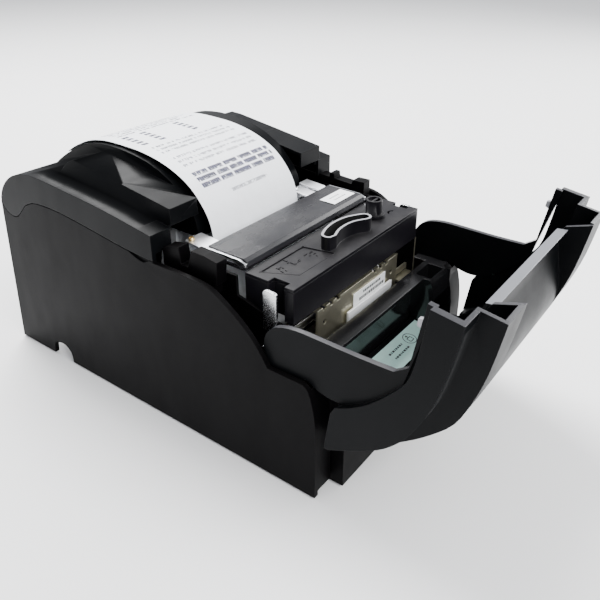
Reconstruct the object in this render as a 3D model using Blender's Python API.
"""Receipt printer with a swung-open front cover, a rear paper cover, a ribbon cassette and an auto-cutter.

Sizes below are in millimetres. X runs across the printer, Y from its front to its rear, Z up.
The part's own frame has its origin under the middle of the footprint, at the feet.
"""
import math

import bmesh
import bpy
from mathutils import Matrix, Vector

# ---------------------------------------------------------------- driving dimensions (mm)
MM = 0.001
WIDTH = 160.0
HALF = WIDTH / 2
DEPTH = 247.0
FOOTPRINT_MID = 84.127       # middle of the open printer's footprint, from the case's front face
FOOT_HEIGHT = 1.0
WALL = 2.8
SKIN = 2.2
GAP = 0.4                    # between touching pieces

LEDGE_Z = 68.7               # top of the front pillars
FASCIA_Y = -6.8              # front face of the lower fascia, ahead of the pillars
FASCIA_HALF = 64.8
SHELF_Z = 32.8               # top of the fascia and of the shelf behind it
SHELF_THICK = 2.5
SIDE_TOP_Z = 102.0           # top of the side walls beside the cassette
SEAM_Y = 104.7               # front edge of the rear cover
PILLAR_INNER = 66.8          # inner face of the front pillars
RIDGE_IN, RIDGE_OUT = 46.1, 66.2

COVER_HINGE = (12.8, 50.4)   # front cover's axis (y, z)
COVER_OPEN = 98.4            # degrees from closed to its stop
ARM_CLEARANCE = 19.4         # from the cover's axis, clear of the pillar's top corner
REAR_HINGE = (229.5, 105.5)  # rear cover's axis (y, z)
SEAT_RADIUS = 10.9           # round seat of the rear hinge in the side wall
LOBE_RADIUS = 10.4           # rear cover's round lobe in that seat
REAR_EDGE = (238.7, 101.6)   # lower rear edge of the rear cover, inside the lobe's circle

PAPER_WIDTH = 75.5
PAPER_X = -5.6               # middle of the paper
PAPER_EXIT_Y = 96.0
ROLL_CENTRE = (166.0, 97.5)
ROLL_RADIUS = 39.5
CORE_RADIUS = 9.5

CASSETTE_X = (-62.0, 62.5)
CASSETTE_Y = (26.9, 57.4)
CASSETTE_Z = (84.8, 104.6)
GRIP_HEIGHT = 8.0            # bean-shaped grip above the cassette's lid
KNOB_CENTRE = (36.3, 42.6)
KNOB_HEIGHT = 10.8
SHAFT = (43.0, 66.0)         # carriage shaft (y, z)
FEED = (64.2, 66.0)          # feed roller (y, z)
PRINT_LINE_Y = 58.5          # paper's front face where it is printed
GEAR_MODULE = 1.0
FEED_TEETH = 20
PINION_TEETH = 10
PINION_CENTRE = (FEED[0], FEED[1] - (FEED_TEETH + PINION_TEETH) * GEAR_MODULE / 2 - 0.35)
GEAR_X = (68.4, 72.6)
PULLEY_CENTRE = (-47.0, 42.0)
PULLEY_RADIUS = 6.0

PORTS = {                    # x, z, width, height of each hole in the rear panel
    "power_inlet": (-46.0, 22.0, 18.0, 16.0),
    "interface_port": (2.0, 22.0, 46.0, 17.0),
    "drawer_port": (48.0, 22.0, 15.0, 15.0),
}
SWITCH_PIVOT = (47.0, FASCIA_Y + 2.5, 19.0)

SEGMENTS = 32


# ---------------------------------------------------------------- outlines
def arc(centre, radius, start, end, steps=8):
    """Points on a circle from angle start to angle end, in degrees."""
    points = []
    for step in range(steps + 1):
        angle = math.radians(start + (end - start) * step / steps)
        points.append((centre[0] + radius * math.cos(angle), centre[1] + radius * math.sin(angle)))
    return points


def circle(centre, radius, segments=SEGMENTS):
    return arc(centre, radius, 0, 360 - 360 / segments, segments - 1)


def rectangle(low_a, high_a, low_b, high_b):
    return [(low_a, low_b), (high_a, low_b), (high_a, high_b), (low_a, high_b)]


def smooth(points, steps=3):
    """A curve through a few points (Catmull-Rom), ending on the first and the last."""
    padded = [points[0]] + list(points) + [points[-1]]
    curve = []
    for index in range(1, len(padded) - 2):
        p0, p1, p2, p3 = padded[index - 1:index + 3]
        for step in range(steps):
            t = step / steps
            curve.append(tuple(
                0.5 * (2 * b + (c - a) * t + (2 * a - 5 * b + 4 * c - d) * t ** 2
                       + (3 * b - a - 3 * c + d) * t ** 3)
                for a, b, c, d in zip(p0, p1, p2, p3)))
    curve.append(tuple(points[-1]))
    return curve


def shifted(points, distance):
    """An open outline moved sideways, to the left of its direction when distance is positive."""
    moved = []
    for index, point in enumerate(points):
        before = Vector(points[max(index - 1, 0)])
        after = Vector(points[min(index + 1, len(points) - 1)])
        along = (after - before).normalized()
        moved.append((point[0] - along.y * distance, point[1] + along.x * distance))
    return moved


def gear_outline(centre, teeth, first_angle):
    """Teeth with straight flanks, narrow enough to leave backlash."""
    pitch = teeth * GEAR_MODULE / 2
    tip, root = pitch + 0.85 * GEAR_MODULE, pitch - 1.15 * GEAR_MODULE
    points = []
    for tooth in range(teeth):
        middle = first_angle + 360 * tooth / teeth
        for part, radius in ((-0.26, root), (-0.1, tip), (0.1, tip), (0.26, root)):
            angle = math.radians(middle + 360 * part / teeth)
            points.append((centre[0] + radius * math.cos(angle), centre[1] + radius * math.sin(angle)))
    return points


# ---------------------------------------------------------------- solids
SPOT = {
    "x": lambda a, b, c: (c, a, b),
    "y": lambda a, b, c: (a, c, b),
    "z": lambda a, b, c: (a, b, c),
}


def spot(axis, a, b, c):
    """A point in metres from two outline coordinates and the place along the axis."""
    x, y, z = SPOT[axis](a, b, c)
    return Vector((x * MM, (y - FOOTPRINT_MID) * MM, z * MM))


def prism(outline, axis, low, high):
    """An outline extruded along an axis from low to high."""
    build = bmesh.new()
    lower = [build.verts.new(spot(axis, a, b, low)) for a, b in outline]
    upper = [build.verts.new(spot(axis, a, b, high)) for a, b in outline]
    build.faces.new(lower)
    build.faces.new(upper)
    for index in range(len(outline)):
        after = (index + 1) % len(outline)
        build.faces.new((lower[index], lower[after], upper[after], upper[index]))
    bmesh.ops.recalc_face_normals(build, faces=build.faces)
    mesh = bpy.data.meshes.new("solid")
    build.to_mesh(mesh)
    build.free()
    item = bpy.data.objects.new("solid", mesh)
    bpy.context.scene.collection.objects.link(item)
    return item


def box(x, y, z):
    return prism(rectangle(*y, *z), "x", *x)


def rod(axis, centre, radius, low, high, segments=SEGMENTS):
    return prism(circle(centre, radius, segments), axis, low, high)


def both_sides(outline, inner, outer):
    """The same prism on the left and on the right."""
    return [prism(outline, "x", -outer, -inner), prism(outline, "x", inner, outer)]


def combine(base, others, operation):
    for other in others:
        change = base.modifiers.new("combine", "BOOLEAN")
        change.operation = operation
        change.solver = "EXACT"
        change.object = other
    view = bpy.context.evaluated_depsgraph_get()
    view.update()
    mesh = bpy.data.meshes.new_from_object(base.evaluated_get(view))
    base.modifiers.clear()
    base.data = mesh
    for other in others:
        bpy.data.objects.remove(other)
    return base


def union(base, *others):
    return combine(base, others, "UNION")


def cut(base, *others):
    return combine(base, others, "DIFFERENCE")


def ring(axis, centre, outer, inner, low, high, segments=SEGMENTS):
    return cut(rod(axis, centre, outer, low, high, segments),
               rod(axis, centre, inner, low - 1, high + 1, segments))


# ---------------------------------------------------------------- finishing
MATERIALS = {
    "case_plastic": ((0.030, 0.029, 0.030), 0.42, 0.0),
    "cover_plastic": ((0.034, 0.033, 0.034), 0.38, 0.0),
    "gloss_black": ((0.018, 0.018, 0.020), 0.2, 0.0),
    "cassette_plastic": ((0.045, 0.043, 0.043), 0.4, 0.0),
    "zinc_steel": ((0.50, 0.47, 0.38), 0.4, 1.0),
    "bright_steel": ((0.72, 0.73, 0.75), 0.25, 1.0),
    "brass": ((0.78, 0.6, 0.3), 0.3, 1.0),
    "white_plastic": ((0.86, 0.86, 0.85), 0.4, 0.0),
    "grey_plastic": ((0.25, 0.25, 0.26), 0.5, 0.0),
    "rubber": ((0.02, 0.02, 0.02), 0.8, 0.0),
    "paper": ((0.92, 0.93, 0.95), 0.8, 0.0),
    "white_label": ((0.93, 0.93, 0.92), 0.5, 0.0),
    "mint_label": ((0.55, 0.8, 0.7), 0.5, 0.0),
    "core_card": ((0.45, 0.33, 0.2), 0.8, 0.0),
    "board_green": ((0.03, 0.2, 0.09), 0.4, 0.0),
    "ribbon_fabric": ((0.03, 0.02, 0.05), 0.8, 0.0),
}


def material(slot):
    found = bpy.data.materials.get(slot)
    if found:
        return found
    colour, roughness, metallic = MATERIALS[slot]
    made = bpy.data.materials.new(slot)
    made.use_nodes = True
    shader = made.node_tree.nodes["Principled BSDF"]
    shader.inputs["Base Color"].default_value = (*colour, 1.0)
    shader.inputs["Roughness"].default_value = roughness
    shader.inputs["Metallic"].default_value = metallic
    return made


def finish(item, name, slot, pivot=None, turn=None):
    """Name a solid, give it its material and, when it moves, put its origin on its joint's axis."""
    item.name = name
    item.data.name = name
    item.data.materials.clear()
    item.data.materials.append(material(slot))
    if pivot is not None:
        place = spot("z", *pivot)
        item.data.transform(Matrix.Translation(-place))
        item.location = place
    if turn is not None:
        item.rotation_euler = turn
    item.data.shade_smooth()
    item.data.set_sharp_from_angle(angle=math.radians(32))
    return item


# ---------------------------------------------------------------- shared curves (y, z)
def side_arc():
    """The side wall's edge, from under the rear cover down to the front pillar's top."""
    return smooth([(SEAM_Y, SIDE_TOP_Z), (80, SIDE_TOP_Z), (66, 100.6), (55, 94.8), (43, 86),
                   (34.5, 76.8), (29.3, LEDGE_Z)])


def pillar_front():
    """The rounded front of a pillar, from its top down to the straight front face."""
    return smooth([(8, LEDGE_Z), (4.7, 65.6), (1.7, 55.5), (0.2, 44), (0, 34)])


def seam(radius, lift):
    """The line between side wall and rear cover, rear to front: a round seat, then a long slope."""
    seat = arc(REAR_HINGE, radius, -14, -135, 8)
    slope = smooth([(214.7, 105.3), (208.8, 108.2), (201, 110.0), (180, 110.1), (146, 106.3),
                    (126, 103.9), (SEAM_Y, 102.7)], 2)
    return seat + [(y, z + lift) for y, z in slope]


def cover_side_top():
    """The closed front cover's side panels: rear edge, shoulder and front, rear to front."""
    return smooth([(103.6, 117.8), (83.6, 117.1), (59.5, 114.7), (41, 109.2), (30.6, 103.9),
                   (21, 96.2), (10.8, 83.5), (2.8, 72.3)])


def cover_ridge_top():
    """The closed cover's raised ridges, running down the front to the lower lip."""
    return smooth([(103.6, 129.5), (78, 128.6), (60, 126), (45, 121.8), (32, 113.2), (20, 102.5),
                   (8, 89), (0, 74), (-2.6, 60), (-1.6, 48)])


def cover_middle_top():
    """The closed cover's middle: paper lip, trough, a bulge over the grip, the ridges' line."""
    return smooth([(96.4, 118.9), (88.5, 116.2), (78, 119.6), (68, 123.2), (58, 124.9), (45, 122.6),
                   (32, 114.4), (20, 102.7)], 2) + cover_ridge_top()[16:]


def rear_side_top():
    """The rear cover's shoulders, front to rear."""
    return smooth([(SEAM_Y, 117.4), (142, 122.5), (176, 125.4), (203, 127), (219, 124),
                   (229, 118.6), (236, 111.5), (239.7, 104.5)])


def rear_ridge_line():
    """A ridge of the rear cover: its front face, long slope and rounded rear end."""
    return [(103.9, 118.3), (103.9, 127.8), (140, 132.9), (172, 137.3)] \
        + smooth([(180, 137.6), (187, 134.6), (194, 127.6)], 2)


def dome_line():
    """The roll dome in the middle of the rear cover, front to rear."""
    return smooth([(104.9, 103.4), (106.3, 112.5), (112, 121.5), (124, 132.2), (142, 139.6),
                   (164, 142.5), (180, 142.1), (194, 139.3), (208, 133.2), (223, 124), (232, 116.4),
                   (238, 109), (239.7, 104.5)], 2)


# ---------------------------------------------------------------- case
def fascia():
    """The hollow lower front, standing ahead of the pillars."""
    bend, wall, back = 4.2, 2.6, 5.0
    top = arc((FASCIA_Y + bend, SHELF_Z - bend), bend, 180, 90, 5)
    outline = [(FASCIA_Y, FOOT_HEIGHT)] + top + [(back, SHELF_Z), (back, FOOT_HEIGHT)]
    ceiling = SHELF_Z - SHELF_THICK
    inside = [(FASCIA_Y + wall, 0), (FASCIA_Y + wall, SHELF_Z - bend), (FASCIA_Y + bend, ceiling),
              (back + 1, ceiling), (back + 1, 0)]
    outer = prism(outline, "x", -FASCIA_HALF, FASCIA_HALF)
    return cut(outer, prism(inside, "x", -FASCIA_HALF + wall, FASCIA_HALF - wall))


def lower_case():
    inner = HALF - WALL
    overlap = inner + 0.6
    notch = smooth([(193, FOOT_HEIGHT), (194, 8), (199.5, 12), (206, 11.3), (210.5, 9),
                    (212, FOOT_HEIGHT)])
    side = [(0, FOOT_HEIGHT)] + notch + [(DEPTH, FOOT_HEIGHT)] + seam(SEAT_RADIUS, -0.25) \
        + side_arc() + pillar_front()
    walls = both_sides(side, inner, HALF)
    rear = prism([(244.3, 46), (246.6, 46), (241.2, 98.2), (238.9, 98.2)], "x", -overlap, overlap)
    panel = box((-overlap, overlap), (187.5, 190), (4, 48))
    ceiling = box((-overlap, overlap), (187.5, 246), (45.5, 48))
    shelf = box((-overlap, overlap), (2.5, 21), (SHELF_Z - SHELF_THICK, SHELF_Z))
    wall = box((-overlap, overlap), (18.5, 21), (SHELF_Z - SHELF_THICK, LEDGE_Z))
    bar = box((-overlap, overlap), (10.5, 21), (66.2, LEDGE_Z))
    front_low = both_sides(rectangle(2.5, 5.3, 4, SHELF_Z - 0.2), FASCIA_HALF - 2.6, overlap)
    body = union(walls[0], walls[1], rear, panel, ceiling, shelf, wall, bar, *front_low)
    body = union(union(body, fascia()), *pillars(), *bar_pockets())
    return cut(body, *pillar_slots(), *case_holes())


def pillars():
    """A front plate, an inner cheek and a top ledge each, with the cover's arm swinging inside."""
    plate = [(0, FOOT_HEIGHT + 3), (3.6, FOOT_HEIGHT + 3), (3.6, 58), (5.6, 63.5), (8.4, 66.2), (11, 66.2),
             (11, LEDGE_Z)] + pillar_front()
    cheek = rectangle(3, 29, SHELF_Z - SHELF_THICK, LEDGE_Z - 0.2)
    ledge = rectangle(10.5, 29, 66.2, LEDGE_Z)
    return both_sides(plate, PILLAR_INNER, HALF - 0.6) \
        + both_sides(cheek, PILLAR_INNER, PILLAR_INNER + 2.4) \
        + both_sides(ledge, PILLAR_INNER + 0.4, PILLAR_INNER + 6.6)


def bar_pockets():
    """Blocks at both ends of the bar, with fronts that clear the cover's swinging lip."""
    outline = [(21, 60)] + arc(COVER_HINGE, 11.6, 290, 190, 6) \
        + [(2.2, 57), (4.9, 66), (6.4, LEDGE_Z), (21, LEDGE_Z)]
    return both_sides(outline, 45.5, PILLAR_INNER + 0.4)


def pillar_slots():
    """Room for the cover's arms and bosses, and the holes for its pins."""
    inner = HALF - WALL
    arm_slot = [(3.6, SHELF_Z), (40, SHELF_Z), (40, 80), (3.6, 80), (3.6, 70), (6.4, 62), (3.6, 57)]
    pin_ends = PILLAR_INNER - 3, PILLAR_INNER + 5
    return both_sides(rectangle(3.6, 40, SHELF_Z, 62), PILLAR_INNER + 2.4, inner) \
        + both_sides(arm_slot, PILLAR_INNER + 6.6, inner) \
        + both_sides(circle(COVER_HINGE, 3.6), *pin_ends)


def case_holes():
    """Pocket hollows, windows for the controls, holes for the connectors and the finger grips."""
    face = (FASCIA_Y - 1, FASCIA_Y + 3)
    hollows = both_sides(rectangle(6.8, 17.4, 58, 75), 47.8, 64.6)
    controls = [box((19.6, 32.4), face, (15.6, 23.4)), box((38.6, 55.4), face, (11.6, 26.4)),
                box((5.6, 14.4), face, (17.2, 21.8))]
    ports = [box((x - width / 2, x + width / 2), (185, 192), (z - height / 2, z + height / 2))
             for x, z, width, height in PORTS.values()]
    grip = smooth([(126, 104.6), (117, 105.8), (108.4, 104.4), (107, 103), (112, 100.2),
                   (118, 101.2), (126, 104.6)])[:-1]
    return hollows + controls + ports + both_sides(grip, HALF - 1.2, HALF + 1)


def base_parts():
    plate = (1.2, 2.6)
    base = box((-76.6, 76.6), (6.2, 187), plate)
    finish(cut(base, box((10, 50), (60, 85), (0, 4))), "base_plate", "zinc_steel")
    finish(box((10.5, 49.5), (60.5, 84.5), plate), "switch_hatch", "grey_plastic")
    corners = [(x, y) for y in (16, 176) for x in (-66, 66)]
    for number, corner in enumerate(corners, 1):
        finish(rod("z", corner, 6.5, 0, 0.9, 24), f"foot_{number}", "rubber")


# ---------------------------------------------------------------- front cover
def sheet(line, depth=SKIN):
    """The outline of a sheet that follows a line, to the left of it when depth is positive."""
    return line + list(reversed(shifted(line, depth)))


def slabs(sections):
    """Solids side by side across the printer, mirrored, from (inner x, outer x, outline)."""
    parts = []
    for inner, outer, outline in sections:
        if inner == 0:
            parts.append(prism(outline, "x", -outer, outer))
        else:
            parts.extend(both_sides(outline, inner, outer))
    body = parts.pop(0)
    for part in parts:
        body = union(body, part)
    return body


def front_cover():
    """Built closed; the object is then turned open about its hinge."""
    side_top, ridge, middle = cover_side_top(), cover_ridge_top(), cover_middle_top()
    rear_edge_y = side_top[0][0]
    lower_edge = [(min(y, rear_edge_y), z) for y, z in reversed(shifted(side_arc(), -0.9)) if z > 70.5]
    side_inside = list(reversed(shifted(side_top, SKIN)))
    middle_inside = list(reversed(shifted(middle, SKIN)))
    lip = [(1.2, 48.2), (0.4, 60), (3.4, 71)]
    rear_lip = [(middle[0][0] - 1.5, 113.4), (89.5, 112.6)]
    body = slabs([
        (0, RIDGE_IN, middle + middle_inside[:-2] + list(reversed(rear_lip))),
        (RIDGE_IN, RIDGE_IN + SKIN, ridge + middle_inside),
        (RIDGE_IN + SKIN, RIDGE_OUT - SKIN, sheet(ridge)),
        (RIDGE_OUT - SKIN, RIDGE_OUT, ridge + lip + side_inside[1:]),
        (RIDGE_OUT, HALF - WALL - 0.8, sheet(side_top)),
        (HALF - WALL - 0.8, HALF, side_top + [(2.2, 69.6), (25.2, 69.6)] + lower_edge),
    ])
    front_edge = smooth([(58, 98.8), (45.5, 89.6), (36.4, 81), (31.4, 73), (29.8, 66), (30.2, 59.2)]) \
        + arc(COVER_HINGE, ARM_CLEARANCE, 20, 2, 3)
    rear_edge = smooth([(11, 43.4), (24, 31.5), (36, 26), (45, 26), (52, 31.4), (56.2, 42), (58.6, 58),
                        (61, 76), (64, 93.4)])
    skirt = [(69.6, 99.4), (103.2, 100.2), (103.2, 104)]
    arm = front_edge + [(18, 51.5), COVER_HINGE] + rear_edge + skirt
    for part in both_sides(arm, 74.0, 76.8) + both_sides(circle(COVER_HINGE, 8.0), 70.2, 76.6):
        body = union(body, part)
    holes = [rod("x", COVER_HINGE, 3.3, 68, 79, 48), rod("x", COVER_HINGE, 3.3, -79, -68, 48)]
    return cut(body, *holes)


def cover_pins():
    for side, name in ((-1, "cover_pin_left"), (1, "cover_pin_right")):
        ends = sorted((side * (PILLAR_INNER + 0.2), side * (HALF - WALL - 0.2)))
        finish(rod("x", COVER_HINGE, 3.2, *ends, 48), name, "bright_steel")


def cover_label():
    """A thin label on the inner face of the closed cover's lower front, in the closed pose."""
    inner = shifted(cover_middle_top(), SKIN + 0.3)
    outer = shifted(cover_middle_top(), SKIN + 0.6)
    return prism(inner[-6:-1] + list(reversed(outer[-6:-1])), "x", -22, 44.8)


# ---------------------------------------------------------------- rear cover and paper
def rear_cover():
    shoulder = rear_side_top()
    ridge = rear_ridge_line() + [point for point in shoulder if point[0] > 200] + [REAR_EDGE]
    dome = dome_line() + [REAR_EDGE]
    front_shoulder = [(SEAM_Y, 106.5)] + shoulder + [REAR_EDGE]
    inside = [point for point in reversed(shifted(shoulder, -SKIN)) if point[0] > SEAM_Y + 2]
    return slabs([
        (0, RIDGE_IN - SKIN, sheet(dome, -SKIN)),
        (RIDGE_IN - SKIN, RIDGE_IN, dome + [(228, 105), (107.4, 103.6)]),
        (RIDGE_IN, RIDGE_OUT - SKIN, sheet(ridge, -SKIN)),
        (RIDGE_OUT - SKIN, RIDGE_OUT, ridge + inside + [(106.1, 114.6), (106.1, 118.3)]),
        (RIDGE_OUT, HALF - WALL, sheet(front_shoulder, -SKIN)),
        (HALF - WALL, HALF, shoulder + seam(LOBE_RADIUS, 0.25)),
    ])


def paper_line():
    """The loose strip: straight up out of the exit, then curling back over the dome."""
    return smooth([(PAPER_EXIT_Y, 101.1), (98.6, 113), (104.4, 122.8), (114, 132), (129, 139),
                   (147, 142.8), (165, 143.7), (181, 143.3), (195.3, 140.4), (209, 134.4), (218, 129)])


def paper_parts():
    left, right = PAPER_X - PAPER_WIDTH / 2, PAPER_X + PAPER_WIDTH / 2
    finish(prism(sheet(paper_line(), 0.25), "x", left, right), "paper_strip", "paper", (0, *REAR_HINGE))
    roll = ring("x", ROLL_CENTRE, ROLL_RADIUS, CORE_RADIUS + 0.3, left, right, 48)
    finish(roll, "paper_roll", "paper")
    core = ring("x", ROLL_CENTRE, CORE_RADIUS, CORE_RADIUS - 1.6, left - 0.2, right + 0.2)
    finish(core, "roll_core", "core_card")
    web = smooth([(PAPER_EXIT_Y - 0.4, 98.5), (92, 97.4), (80, 97.2), (66, 95.6), (60.2, 91),
                  (PRINT_LINE_Y, 84), (PRINT_LINE_Y, 66), (60, 54), (70, 47.5), (90, 49.5), (112, 54.5),
                  (128, 57.2), (142, 61)], 2)
    finish(prism(sheet(web, 0.25), "x", left, right), "paper_web", "paper")


def paper_bucket():
    """A trough under the roll, with a cheek at each end."""
    y, z = ROLL_CENTRE
    radius = ROLL_RADIUS + 4
    outside = arc(ROLL_CENTRE, radius + 2, -20, -122, 10)
    trough = arc(ROLL_CENTRE, radius, -20, -122, 10) + list(reversed(outside))
    low, high = PAPER_X - PAPER_WIDTH / 2 - 2.5, PAPER_X + PAPER_WIDTH / 2 + 2.5
    cheek = [(y - 30, z - 8), (y + 38, z - 8)] + outside
    body = union(prism(trough, "x", low, high), prism(cheek, "x", low - 2, low))
    body = union(body, prism(cheek, "x", high, high + 2))
    return union(body, box((low + 8, high - 8), (y - 6, y + 6), (48.3, z - radius - 0.5)))


# ---------------------------------------------------------------- steel chassis and mechanism
def chassis():
    """A floor pan with a side plate at each end of the mechanism."""
    plate = [(28, 5), (110, 5), (110, 98), (104.4, 103.2), (60, 103.2), (60, 92), (28, 84)]
    body = box((-65.4, 65.4), (28, 110), (5, 6.5))
    plates = both_sides(plate, 64.2, 65.7)
    shaft_holes = rod("x", SHAFT, 3.0 + GAP, -70, 70)
    feed_holes = rod("x", FEED, 3.0 + GAP, -70, 70)
    body = union(body, *plates)
    flange = box((48, 64.6), (23, 33), (58.5, 60))
    return cut(union(body, flange), shaft_holes, feed_holes)


def front_plate():
    """Folded steel plate below the cassette, with a toothed top flange."""
    sheet = box((-38, 45.5), (29.6, 30.8), (52, 79.6))
    flange = box((-38, 45.5), (29.6, 35.4), (78.4, 79.6))
    feet = [box((-31, -20), (29.6, 33), (52, 53.2)), box((34, 45.5), (29.6, 33), (52, 53.2))]
    body = union(sheet, flange, *feet)
    notches = [box((x, x + 3.2), (28, 36), (77.6, 81)) for x in (-33, -26.5, -20, 18, 24.5, 31)]
    holes = [rod("y", (x, 70.2), 1.5, 28, 32, 16) for x in (-31.4, 38.6)]
    return cut(body, *notches, *holes)


def mechanism():
    finish(chassis(), "chassis", "zinc_steel")
    finish(front_plate(), "front_plate", "zinc_steel")
    finish(box((-4, 30.5), (28.9, 29.3), (60, 74.2)), "mechanism_label", "white_label")
    guard = union(box((-11.5, 36), (24.6, 28.5), (57.2, 58.6)), box((-11.5, 36), (27.1, 28.5), (57.2, 66.4)))
    finish(guard, "guard_bar", "white_plastic")
    tab = [(33.2, 80), (33.2, 100.5)] + arc((35.2, 100.8), 2, 180, 90, 3) + arc((39.6, 100.8), 2, 90, 0, 3) \
        + [(41.6, 80)]
    finish(prism(tab, "x", -67.6, -66), "latch_tab_left", "bright_steel")
    finish(prism(tab, "x", 66, 67.6), "latch_tab_right", "bright_steel")
    finish(rod("x", SHAFT, 3.0, -67, 67), "carriage_shaft", "bright_steel")
    finish(box((-63.8, 63.8), (32.2, 33.6), (61.4, 65)), "guide_rail", "zinc_steel")
    finish(box((-50, 50), (PRINT_LINE_Y + 0.7, 63), (73.5, 86)), "platen_bar", "bright_steel")
    belt()
    motors()


def belt():
    """A belt loop on two pulleys, under the carriage."""
    x, y = PULLEY_CENTRE
    outer = arc((x, y), PULLEY_RADIUS + 1.5, 90, 270, 10) + arc((-x, y), PULLEY_RADIUS + 1.5, -90, 90, 10)
    inner = arc((x, y), PULLEY_RADIUS + 0.4, 90, 270, 10) + arc((-x, y), PULLEY_RADIUS + 0.4, -90, 90, 10)
    finish(cut(prism(outer, "z", 53, 57), prism(inner, "z", 52, 58)), "drive_belt", "rubber")
    finish(rod("z", (-x, y), PULLEY_RADIUS, 52.4, 57.4), "idler_pulley", "grey_plastic", (-x, y, 55))
    finish(rod("z", (x, y), PULLEY_RADIUS, 52.4, 57.4), "drive_pulley", "grey_plastic", (x, y, 55))


def motors():
    x, y = PULLEY_CENTRE
    finish(rod("z", (x, y), 13.0, 21, 51.8), "carriage_motor", "zinc_steel")
    finish(rod("x", PINION_CENTRE, 12.0, 44, 63.4), "feed_motor", "zinc_steel")
    pinion = prism(gear_outline(PINION_CENTRE, PINION_TEETH, 90 + 180 / PINION_TEETH), "x", *GEAR_X)
    stub = rod("x", PINION_CENTRE, 2.0, 66.2, 68.8, 20)
    finish(union(pinion, stub), "feed_pinion", "brass", (GEAR_X[0], *PINION_CENTRE))
    gear = prism(gear_outline(FEED, FEED_TEETH, -90), "x", *GEAR_X)
    roller = rod("x", FEED, 5.0, -44, 33)
    axle = rod("x", FEED, 3.0, -67, 69)
    finish(union(axle, roller, gear), "feed_roller", "rubber", (0, *FEED))


def carriage():
    """Slides on the shaft and carries the print head to just short of the ribbon."""
    body = box((-19, 8), (34.4, 56), (58.6, 73.5))
    bore = rod("x", SHAFT, 3.1, -30, 20)
    heel = box((-19, 8), (31.2, 35), (66, 73.5))
    finish(cut(union(body, heel), bore), "carriage", "grey_plastic")
    nose = prism([(38, 73.9), (52, 73.9), (56.9, 76.5), (56.9, 82), (53, 84.3), (38, 84.3)], "x", -13.6, 2.6)
    slots = [box((-15, 4), (y, y + 1.5), (76.5, 86)) for y in (40, 43.2, 46.4, 49.6)]
    finish(cut(nose, *slots), "print_head", "zinc_steel")


# ---------------------------------------------------------------- cassette
def kidney(thickness):
    """A bean-shaped outline, bowed towards the front in its middle."""
    points = [(-14.4, 39.8), (-7.5, 42.2), (1.0, 43.0), (9.5, 41.6), (17.2, 37.4)]
    line = smooth(points)
    side = shifted(line, thickness)
    other = list(reversed(shifted(line, -thickness)))
    start, end = line[0], line[-1]
    return side + arc(end, thickness, 60, -120, 6)[1:-1] + other + arc(start, thickness, 250, 110, 6)[1:-1]


def end_boxes(inset, y, z, beyond=0):
    """A box at each end of the cassette, from beyond its end to inset inside it."""
    low, high = CASSETTE_X
    return [box((low - beyond, low + inset), y, z), box((high - inset, high + beyond), y, z)]


def cassette():
    (left, right), (front, rear), (bottom, top) = CASSETTE_X, CASSETTE_Y, CASSETTE_Z
    lid_z = top - 1.6
    wall = 1.8
    notch_y = (32.4, 42.4)
    shell = cut(box(CASSETTE_X, CASSETTE_Y, (bottom, lid_z - 0.3)),
                box((left + wall, right - wall), (front + wall, rear - wall), (bottom + wall, top)))
    posts = end_boxes(6.2, (notch_y[0] - 1.4, notch_y[1] + 1.4), (bottom + 0.2, lid_z - 0.4), -1)
    horns = both_sides(rectangle(rear - 3.4, rear - 0.2, 73.5, bottom + 1), 53.5, 60.5)
    shell = cut(union(shell, *posts, *horns), *end_boxes(4.6, notch_y, (bottom - 1, top), 1))
    finish(shell, "cassette_shell", "cassette_plastic")

    recess = prism([(-57.5, 51.6), (-21.5, 51.8), (-17.5, 33.4), (-48, 34)], "z", top - 0.5, top + 1)
    crescent = arc((47.5, 36), 3.4, 20, 160, 6) + arc((47.5, 36), 2.0, 160, 20, 6)
    spindle_hole = rod("z", KNOB_CENTRE, 5.4, lid_z - 1, top + 1)
    lid = cut(box(CASSETTE_X, CASSETTE_Y, (lid_z, top)), *end_boxes(4.6, notch_y, (lid_z - 1, top + 1), 1),
              recess, prism(crescent, "z", lid_z - 1, top + 1), spindle_hole)
    grip = cut(prism(kidney(4.2), "z", top - 0.4, top + GRIP_HEIGHT),
               prism(kidney(2.8), "z", top + 0.4, top + GRIP_HEIGHT + 1))
    finish(union(lid, grip), "cassette_lid", "cassette_plastic")
    finish(box((-60, 60), (rear + 0.15, rear + 0.35), (74.5, 84.2)), "ribbon", "ribbon_fabric")
    finish(knob(top), "ribbon_knob", "cassette_plastic", (*KNOB_CENTRE, top))


def knob(lid_top):
    """A hollow knob with a flange at its foot and a bar across its mouth."""
    x, y = KNOB_CENTRE
    body = cut(rod("z", KNOB_CENTRE, 4.9, lid_top - 6, lid_top + KNOB_HEIGHT),
               rod("z", KNOB_CENTRE, 3.7, lid_top + 6, lid_top + KNOB_HEIGHT + 1))
    flange = rod("z", KNOB_CENTRE, 6.6, lid_top + 0.4, lid_top + 2.2)
    bar = box((x - 4, x + 4), (y - 0.6, y + 0.6), (lid_top + 5, lid_top + KNOB_HEIGHT - 0.5))
    return union(body, flange, bar)


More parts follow.
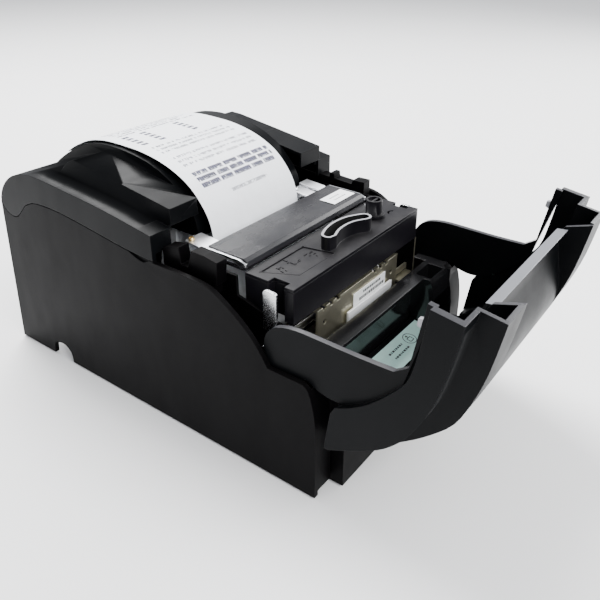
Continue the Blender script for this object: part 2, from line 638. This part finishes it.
# ---------------------------------------------------------------- cutter and paper exit
def cutter():
    """Frame ends, moving and fixed blades, a motor and the dark cover plate over them."""
    ends = [prism([(58.6, 104.9), (58.6, 107.4), (63, 108.9), (86, 108.9), (86, 104.9)], "x", x, x + 1.4)
            for x in (-60.2, 51.4)]
    tray = box((-60.2, 52.8), (59.2, 86), (103.6, 105.2))
    frame = union(tray, *ends)
    slots = [box((x - 1, x + 3), (66, 78), (106.2, 107.2)) for x in (-60.8, 50.8)]
    finish(cut(frame, *slots), "cutter_frame", "bright_steel")
    plate = [(58.2, 105.6), (59.2, 107.9), (61, 109.4), (85.6, 109.4), (85.6, 107.6), (62, 107.6),
             (60, 105.6)]
    finish(prism(plate, "x", -58.4, 51.0), "cutter_cover", "gloss_black")
    finish(box((26.5, 48.5), (64, 75), (109.7, 109.9)), "cutter_label", "white_label")
    finish(box((-50, 40), (PAPER_EXIT_Y + 1.3, 103.2), (98.8, 99.6)), "fixed_blade", "bright_steel")
    blade = box((-45.5, 34.5), (76, 94.6), (100, 100.7))
    finish(blade, "cutter_blade", "bright_steel")
    finish(box((-40, -12), (62, 80), (105.5, 107.3)), "cutter_motor", "grey_plastic")


def exit_guide():
    """The folded steel strip behind the paper exit, its raised tabs and their screws."""
    tab = [(102.4, 101.3), (103.6, 101.3), (103.6, 107.0), (89.6, 106.0), (87.2, 104.4), (87.6, 103.4),
           (89.9, 104.9), (102.4, 105.8)]
    raised = [(y, z + 1.9) if z > 102 else (y, z) for y, z in tab]
    strip = union(box((-58, 54), (PAPER_EXIT_Y + 2.2, 103.6), (101.2, 102.4)),
                  prism(tab, "x", -58, -45.4), prism(tab, "x", 34.4, 44),
                  prism(raised, "x", 43.6, 52))
    finish(strip, "paper_guide", "bright_steel")
    finish(rod("z", (-55.4, 101.0), 1.8, 107.1, 108.6, 16), "guide_screw_left", "brass")
    finish(rod("z", (37.0, 101.0), 1.8, 107.1, 108.4, 16), "guide_screw_right", "bright_steel")


def side_blocks():
    """Moulded blocks on the ledges, which the closed cover locks onto."""
    near = [(66.4, 98.5), (65.2, 111.8), (74, 113.2), (82.6, 113.2), (85.6, 103.2), (90.6, 103.2),
            (91.6, 112.6), (101.5, 110.2), (103.6, 108.8), (103.6, 98.5)]
    far = [(68.4, 98.5), (68.4, 110.4), (77, 110.2), (78, 107.2), (91.5, 108), (92, 111.2), (95, 111.2),
           (95.5, 108.3), (103.6, 108.6), (103.6, 98.5)]
    for name, outline, side in (("side_block_left", near, -1), ("side_block_right", far, 1)):
        low, high = sorted((side * 66.2, side * 73.6))
        foot = box((low + 0.4, high - 0.4), (68.8, 103.2), (92, 99))
        finish(union(prism(outline, "x", low, high), foot), name, "case_plastic")


# ---------------------------------------------------------------- electronics and controls
def electronics():
    finish(box((-60, 60), (112, 180), (10, 11.6)), "main_board", "board_green")
    for name, (x, z, width, height) in PORTS.items():
        half_x, half_z = width / 2, height / 2
        body = box((x - half_x + GAP, x + half_x - GAP), (178, 192.5), (z - half_z + GAP, z + half_z - GAP))
        socket = box((x - half_x + 2.6, x + half_x - 2.6), (184, 195), (z - half_z + 3, z + half_z - 3))
        finish(cut(body, socket), name, "grey_plastic")


def controls():
    """Feed button, status lights and rocker switch in the fascia's right half."""
    face = FASCIA_Y
    button = box((20, 32), (face - 1.5, face + 2.1), (16, 23))
    stem = box((24, 28), (face + 1.5, face + 4), (18, 21))
    flange = box((18.6, 33.4), (face + 3.2, face + 4.7), (14.6, 24.4))
    finish(union(button, stem, flange), "feed_button", "grey_plastic")
    finish(box((6, 14), (face - 0.5, face + 2.3), (17.6, 21.4)), "status_lights", "white_plastic")
    rocker = [(2.5, 13.8), (0.3, 13.8), (-0.1, 19), (-2.1, 24.2), (2.5, 24.2)]
    rocker = [(face + y, z) for y, z in rocker]
    finish(prism(rocker, "x", 40.2, 53.8), "power_switch", "gloss_black", SWITCH_PIVOT)
    housing = cut(box((39, 55), (face + 0.9, face + 11.5), (12, 26)),
                  box((39.9, 54.1), (face - 1, face + 9.5), (12.6, 25.4)))
    finish(housing, "switch_housing", "grey_plastic")


if __name__ == "__main__":
    for old in list(bpy.data.objects):
        bpy.data.objects.remove(old)
    finish(lower_case(), "lower_case", "case_plastic")
    base_parts()
    cover_turn = (0, *COVER_HINGE), (math.radians(COVER_OPEN), 0, 0)
    finish(front_cover(), "front_cover", "cover_plastic", *cover_turn)
    finish(cover_label(), "cover_label", "mint_label", *cover_turn)
    cover_pins()
    finish(rear_cover(), "rear_cover", "cover_plastic", (0, *REAR_HINGE))
    paper_parts()
    finish(paper_bucket(), "paper_bucket", "case_plastic")
    mechanism()
    carriage()
    cassette()
    cutter()
    exit_guide()
    side_blocks()
    electronics()
    controls()
